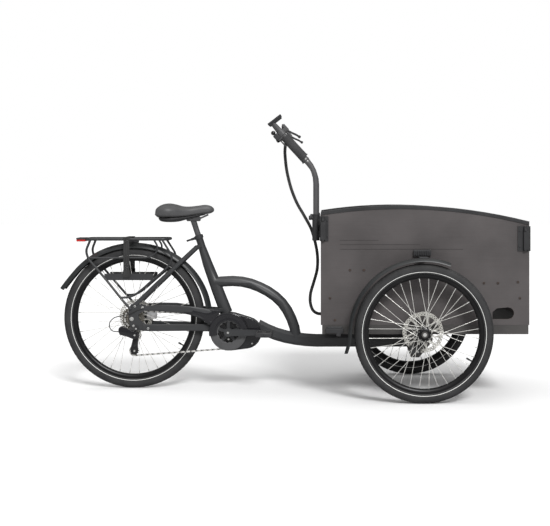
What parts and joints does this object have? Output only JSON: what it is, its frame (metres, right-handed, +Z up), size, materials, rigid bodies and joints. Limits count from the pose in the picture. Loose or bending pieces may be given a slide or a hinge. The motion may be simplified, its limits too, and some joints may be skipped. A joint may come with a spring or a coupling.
{
  "type": "cargo tricycle",
  "caption": "Electric cargo tricycle with a wooden box between two steered front wheels, an upright hoop handlebar, a rear rack and a saddle on a sliding post.",
  "frame": {"origin": "middle of the bottom of the bounding box, on the floor", "axes": "+X forwards towards the box, +Z up, the right-hand (chain) side is -Y"},
  "size_m": [2.1526, 0.896, 1.2834],
  "materials": {
    "frame_black": "satin charcoal black powder coat",
    "motor_gloss": "glossy black",
    "black_plastic": "matt black",
    "rubber": "matt black",
    "tyre": "grey-black rubber with a thin reflective line",
    "rim_black": "satin black anodised",
    "steel": "bright steel",
    "dark_steel": "dark oiled steel",
    "film_plywood": "dark grey-brown film-faced plywood",
    "edge_metal": "dark satin metal",
    "saddle_skin": "dark grey smooth cover",
    "red_lens": "red lens",
    "screen": "black screen",
    "aluminium": "satin"
  },
  "bodies": {
    "rear_frame": {"main_frame": "frame_black", "rear_triangle": "frame_black", "motor_housing": "black_plastic", "motor_cover": "motor_gloss", "chain": "dark_steel", "derailleur": "black_plastic", "gear_cable": "rubber", "rear_mudguard": "black_plastic", "rear_rack": "frame_black", "rack_strap": "rubber", "rear_lamp": "red_lens", "rear_caliper": "aluminium"},
    "rear_wheel": {"rear_tyre": "tyre", "rear_rim": "rim_black", "rear_hub": "steel"},
    "cassette": {"cassette": "dark_steel"},
    "crank": {"crankset": "frame_black", "chainring": "dark_steel", "chain_guard": "black_plastic"},
    "pedal_right": {"pedal_right": "black_plastic"},
    "pedal_left": {"pedal_left": "black_plastic"},
    "guide_pulley": {"guide_pulley": "black_plastic"},
    "tension_pulley": {"tension_pulley": "black_plastic"},
    "seat_post": {"seat_post": "rim_black", "saddle": "saddle_skin"},
    "saddle_clamp_lever": {"saddle_clamp_lever": "black_plastic"},
    "front_assembly": {"front_chassis": "frame_black", "box_floor": "film_plywood", "floor_rear": "film_plywood", "box_side_right": "film_plywood", "box_side_left": "film_plywood", "box_front": "film_plywood", "box_rear": "film_plywood", "bench_board": "film_plywood", "battery": "black_plastic", "edge_trim_right": "edge_metal", "edge_trim_left": "edge_metal", "front_right_corner": "edge_metal", "front_left_corner": "edge_metal", "rear_right_corner": "edge_metal", "rear_left_corner": "edge_metal", "handlebar_sleeves": "edge_metal", "cable_bundle": "rubber", "front_right_mudguard": "black_plastic", "front_left_mudguard": "black_plastic", "front_right_caliper": "black_plastic", "front_left_caliper": "black_plastic"},
    "front_right_wheel": {"front_right_tyre": "tyre", "front_right_rim": "rim_black", "front_right_hub": "steel"},
    "front_left_wheel": {"front_left_tyre": "tyre", "front_left_rim": "rim_black", "front_left_hub": "steel"},
    "handlebar": {"handlebar": "frame_black", "grip_right": "rubber", "grip_left": "rubber", "display": "screen"},
    "brake_lever_right": {"brake_lever_right": "dark_steel"},
    "brake_lever_left": {"brake_lever_left": "dark_steel"},
    "shift_paddle": {"shift_paddle": "black_plastic"}
  },
  "joints": [
    {"name": "steer", "type": "hinge", "parent": "rear_frame", "child": "front_assembly", "pos_m": [0.59096, 0, 0.2885], "axis": [0, 0, 1], "range_deg": [-30, 30]},
    {"name": "front_right_wheel_spin", "type": "hinge", "parent": "front_assembly", "child": "front_right_wheel", "pos_m": [0.59796, -0.4, 0.30256], "axis": [0, 1, 0], "continuous": true},
    {"name": "front_left_wheel_spin", "type": "hinge", "parent": "front_assembly", "child": "front_left_wheel", "pos_m": [0.59796, 0.4, 0.30256], "axis": [0, 1, 0], "continuous": true},
    {"name": "rear_wheel_spin", "type": "hinge", "parent": "rear_frame", "child": "rear_wheel", "pos_m": [-0.72704, 0, 0.32998], "axis": [0, 1, 0], "continuous": true},
    {"name": "crank_turn", "type": "hinge", "parent": "rear_frame", "child": "crank", "pos_m": [-0.28004, 0, 0.267], "axis": [0, 1, 0], "continuous": true},
    {"name": "cassette_turn", "type": "hinge", "parent": "rear_frame", "child": "cassette", "pos_m": [-0.72704, 0, 0.32998], "axis": [0, 1, 0], "continuous": true},
    {"name": "guide_pulley_turn", "type": "hinge", "parent": "rear_frame", "child": "guide_pulley", "pos_m": [-0.71104, -0.052, 0.252], "axis": [0, 1, 0], "continuous": true},
    {"name": "tension_pulley_turn", "type": "hinge", "parent": "rear_frame", "child": "tension_pulley", "pos_m": [-0.71704, -0.052, 0.18], "axis": [0, 1, 0], "continuous": true},
    {"name": "pedal_right_turn", "type": "hinge", "parent": "crank", "child": "pedal_right", "pos_m": [-0.11004, -0.078, 0.267], "axis": [0, 1, 0], "continuous": true},
    {"name": "pedal_left_turn", "type": "hinge", "parent": "crank", "child": "pedal_left", "pos_m": [-0.45004, 0.078, 0.267], "axis": [0, 1, 0], "continuous": true},
    {"name": "seat_post_slide", "type": "slide", "parent": "rear_frame", "child": "seat_post", "axis": [-0.3123, 0, 0.95], "range_m": [-0.035, 0.08]},
    {"name": "saddle_clamp_swing", "type": "hinge", "parent": "rear_frame", "child": "saddle_clamp_lever", "pos_m": [-0.45505, 0, 0.69684], "axis": [-0.3123, 0, 0.95], "range_deg": [0, 90]},
    {"name": "handlebar_slide", "type": "slide", "parent": "front_assembly", "child": "handlebar", "axis": [0, 0, 1], "range_m": [-0.03, 0.03], "deforming": ["cable_bundle"]},
    {"name": "brake_lever_right_squeeze", "type": "hinge", "parent": "handlebar", "child": "brake_lever_right", "pos_m": [0.00522, -0.24, 1.18995], "axis": [0, 1, 0], "range_deg": [0, 9], "stiffness_Nm_per_rad": 2},
    {"name": "brake_lever_left_squeeze", "type": "hinge", "parent": "handlebar", "child": "brake_lever_left", "pos_m": [0.00522, 0.24, 1.18995], "axis": [0, 1, 0], "range_deg": [0, 9], "stiffness_Nm_per_rad": 2},
    {"name": "shift_paddle_press", "type": "hinge", "parent": "handlebar", "child": "shift_paddle", "pos_m": [-0.02851, -0.24, 1.14537], "axis": [0.7363, 0, 0.6766], "range_deg": [0, 15], "stiffness_Nm_per_rad": 0.5}
  ],
  "couplings": [
    {"joint": "cassette_turn", "follows": "crank_turn", "ratio": 2.1111},
    {"joint": "guide_pulley_turn", "follows": "crank_turn", "ratio": -3.4545},
    {"joint": "tension_pulley_turn", "follows": "crank_turn", "ratio": 3.4545}
  ]
}
